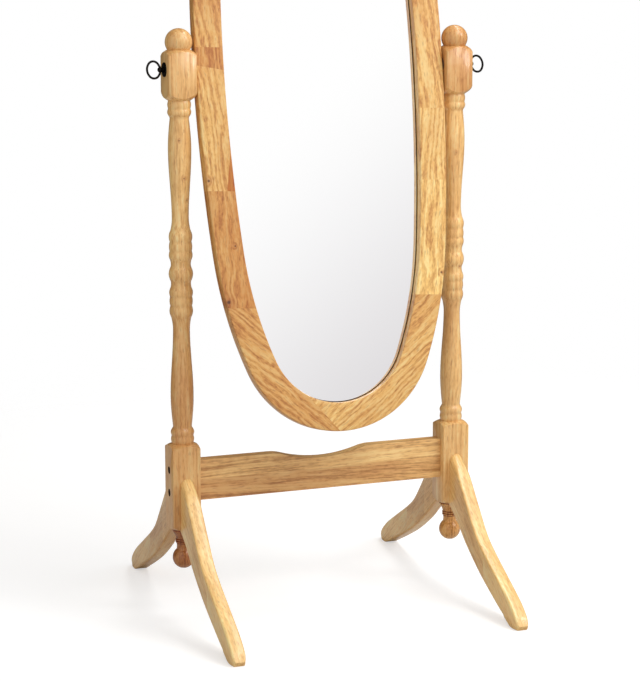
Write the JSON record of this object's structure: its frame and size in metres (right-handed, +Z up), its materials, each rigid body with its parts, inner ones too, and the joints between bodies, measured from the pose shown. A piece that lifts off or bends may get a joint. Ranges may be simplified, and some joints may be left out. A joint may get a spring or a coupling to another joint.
{
  "type": "cheval floor mirror",
  "caption": "Oval wood-framed floor mirror tilting between two turned posts on splayed curved legs, with ring-headed bolts that set its angle.",
  "frame": {"origin": "on the floor, midway between the two posts", "axes": "X to the right, Y to the back, Z up; the mirror faces -Y"},
  "size_m": [0.5624, 0.552, 1.4359],
  "materials": {
    "post_wood": "pale honey pine, clear varnish",
    "leg_wood": "honey pine, clear varnish",
    "finial_wood": "red-brown pine, clear varnish",
    "stretcher_wood": "streaky brown pine, clear varnish",
    "frame_wood": "golden pine in glued lengths, clear varnish",
    "dowel_wood": "plain beech",
    "board_wood": "thin brown hardboard",
    "mirror_silver": "silvered float glass",
    "iron_black": "black antique bronze",
    "bolt_steel": "zinc plated",
    "screw_brass": "yellow passivated",
    "spacer_plastic": "brown nylon"
  },
  "bodies": {
    "stand": {"left_post": "post_wood", "right_post": "post_wood", "left_drop_finial": "finial_wood", "right_drop_finial": "finial_wood", "stretcher": "stretcher_wood", "front_left_leg": "leg_wood", "back_left_leg": "leg_wood", "front_right_leg": "leg_wood", "back_right_leg": "leg_wood", "left_leg_dowels": "dowel_wood", "right_leg_dowels": "dowel_wood", "left_stretcher_bolts": "bolt_steel", "right_stretcher_bolts": "bolt_steel", "left_bolt_washers": "bolt_steel", "right_bolt_washers": "bolt_steel", "left_barrel_nuts": "bolt_steel", "right_barrel_nuts": "bolt_steel"},
    "mirror": {"mirror_frame": "frame_wood", "mirror_glass": "mirror_silver", "backing_board": "board_wood", "backing_screws": "screw_brass", "left_pivot_insert": "bolt_steel", "right_pivot_insert": "bolt_steel", "left_spacer": "spacer_plastic", "right_spacer": "spacer_plastic"},
    "left_washer_plate": {"left_rosette": "iron_black"},
    "left_clamp": {"left_ring_bolt": "iron_black"},
    "right_washer_plate": {"right_rosette": "iron_black"},
    "right_clamp": {"right_ring_bolt": "iron_black"}
  },
  "joints": [
    {"name": "mirror_tilt", "type": "hinge", "parent": "stand", "child": "mirror", "pos_m": [0, 0, 0.855], "axis": [1, 0, 0], "continuous": true},
    {"name": "left_rosette_travel", "type": "slide", "parent": "mirror", "child": "left_washer_plate", "axis": [-1, 0, 0], "range_m": [0, 0.0025]},
    {"name": "left_ring_turn", "type": "hinge", "parent": "left_washer_plate", "child": "left_clamp", "pos_m": [-0.252, 0, 0.855], "axis": [-1, 0, 0], "range_deg": [0, 735]},
    {"name": "right_rosette_travel", "type": "slide", "parent": "mirror", "child": "right_washer_plate", "axis": [1, 0, 0], "range_m": [0, 0.0025]},
    {"name": "right_ring_turn", "type": "hinge", "parent": "right_washer_plate", "child": "right_clamp", "pos_m": [0.252, 0, 0.855], "axis": [1, 0, 0], "range_deg": [0, 735]}
  ],
  "couplings": [
    {"joint": "left_ring_turn", "follows": "left_rosette_travel", "rad_per_m": 5026.5},
    {"joint": "right_ring_turn", "follows": "right_rosette_travel", "rad_per_m": 5026.5}
  ]
}
